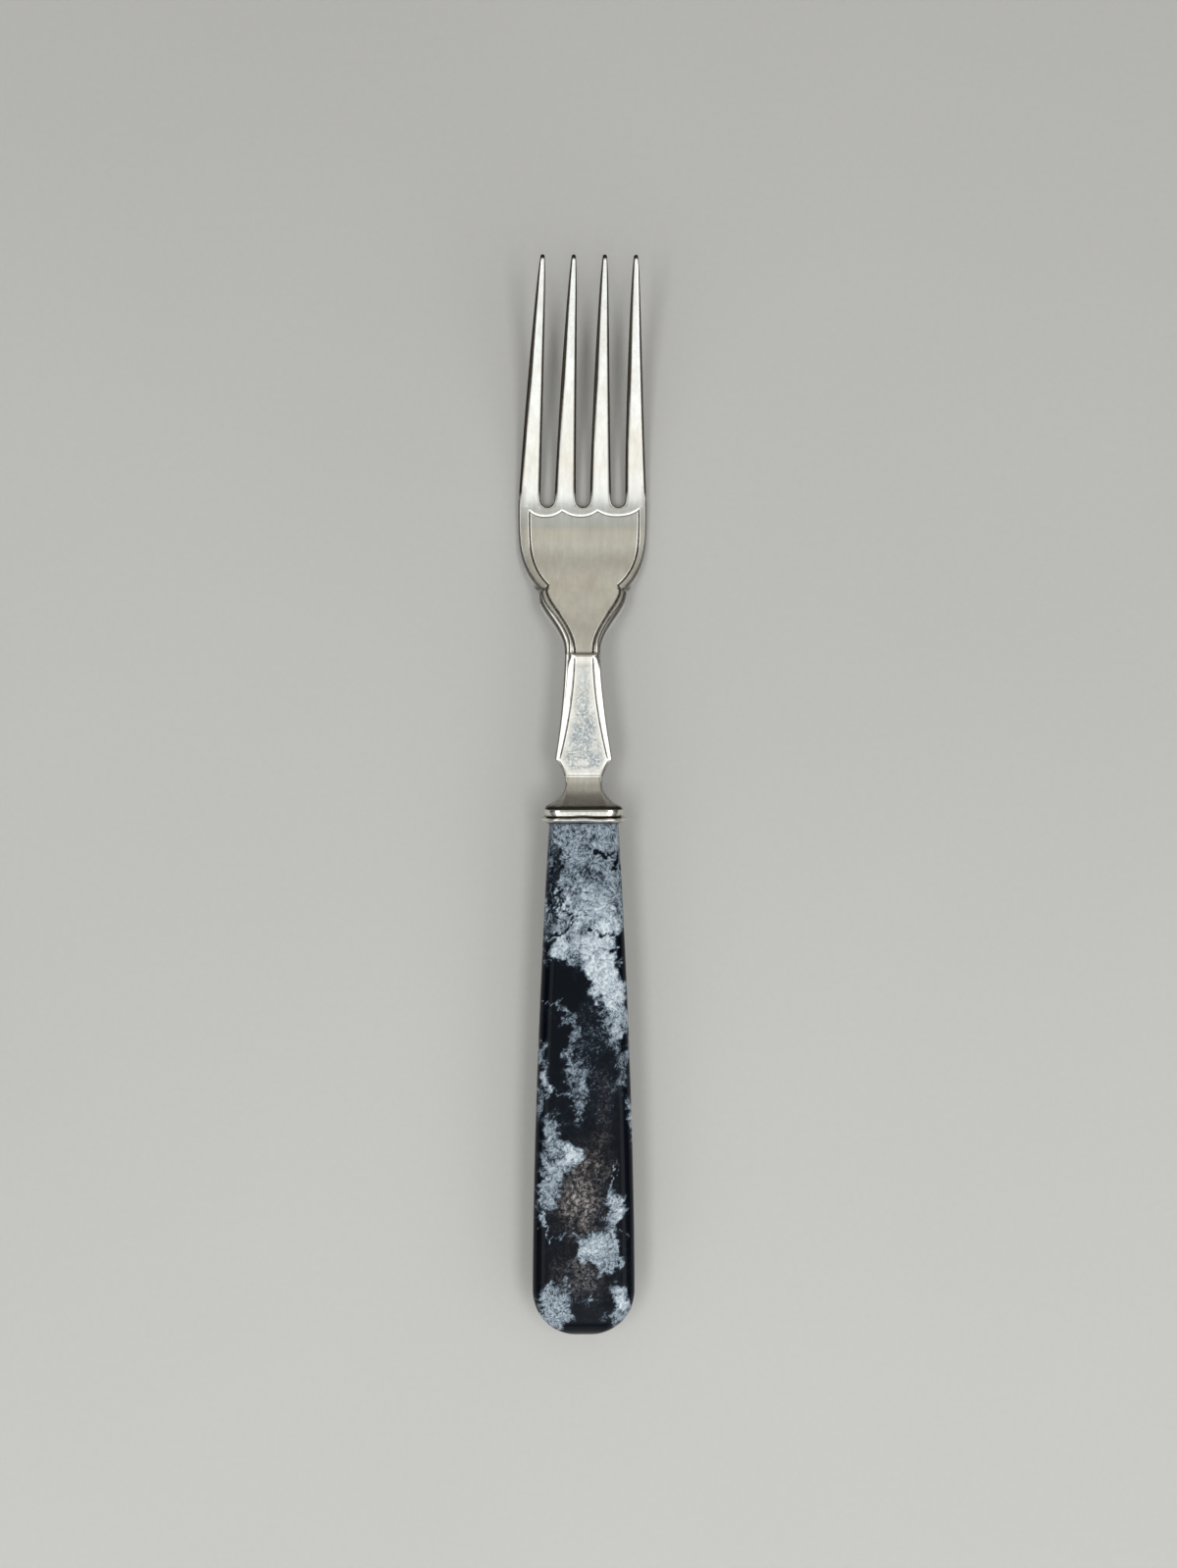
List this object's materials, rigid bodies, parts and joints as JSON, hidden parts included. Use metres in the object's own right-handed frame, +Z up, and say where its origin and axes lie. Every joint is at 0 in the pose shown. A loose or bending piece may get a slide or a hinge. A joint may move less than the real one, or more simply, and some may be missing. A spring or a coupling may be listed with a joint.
{
  "type": "table fork",
  "caption": "Table fork with slim upswept tines, an engraved bowl with stepped shoulders, a bevelled shank and a marbled resin handle on a cemented tang.",
  "frame": {"origin": "middle of the fork's length and width, on the table that it lies on with its back down", "axes": "+X across the fork, +Y along it towards the tine tips, +Z up from the table"},
  "size_m": [0.023, 0.1896, 0.0191],
  "materials": {
    "silver_plate": "old silver plate, softly polished with fine lengthwise scratches",
    "silver_fittings": "old silver plate, tarnished in the joints",
    "tang_metal": "bare forged metal, hidden",
    "cement": "set filler, hidden",
    "marbled_resin": "glossy marbled resin, near black with bluish white clouds"
  },
  "bodies": {
    "root": {"fork_head": "silver_plate", "bolster_band": "silver_fittings", "ferrule_plate": "silver_fittings", "tang": "tang_metal", "tang_cement": "cement", "handle": "marbled_resin"}
  },
  "joints": []
}
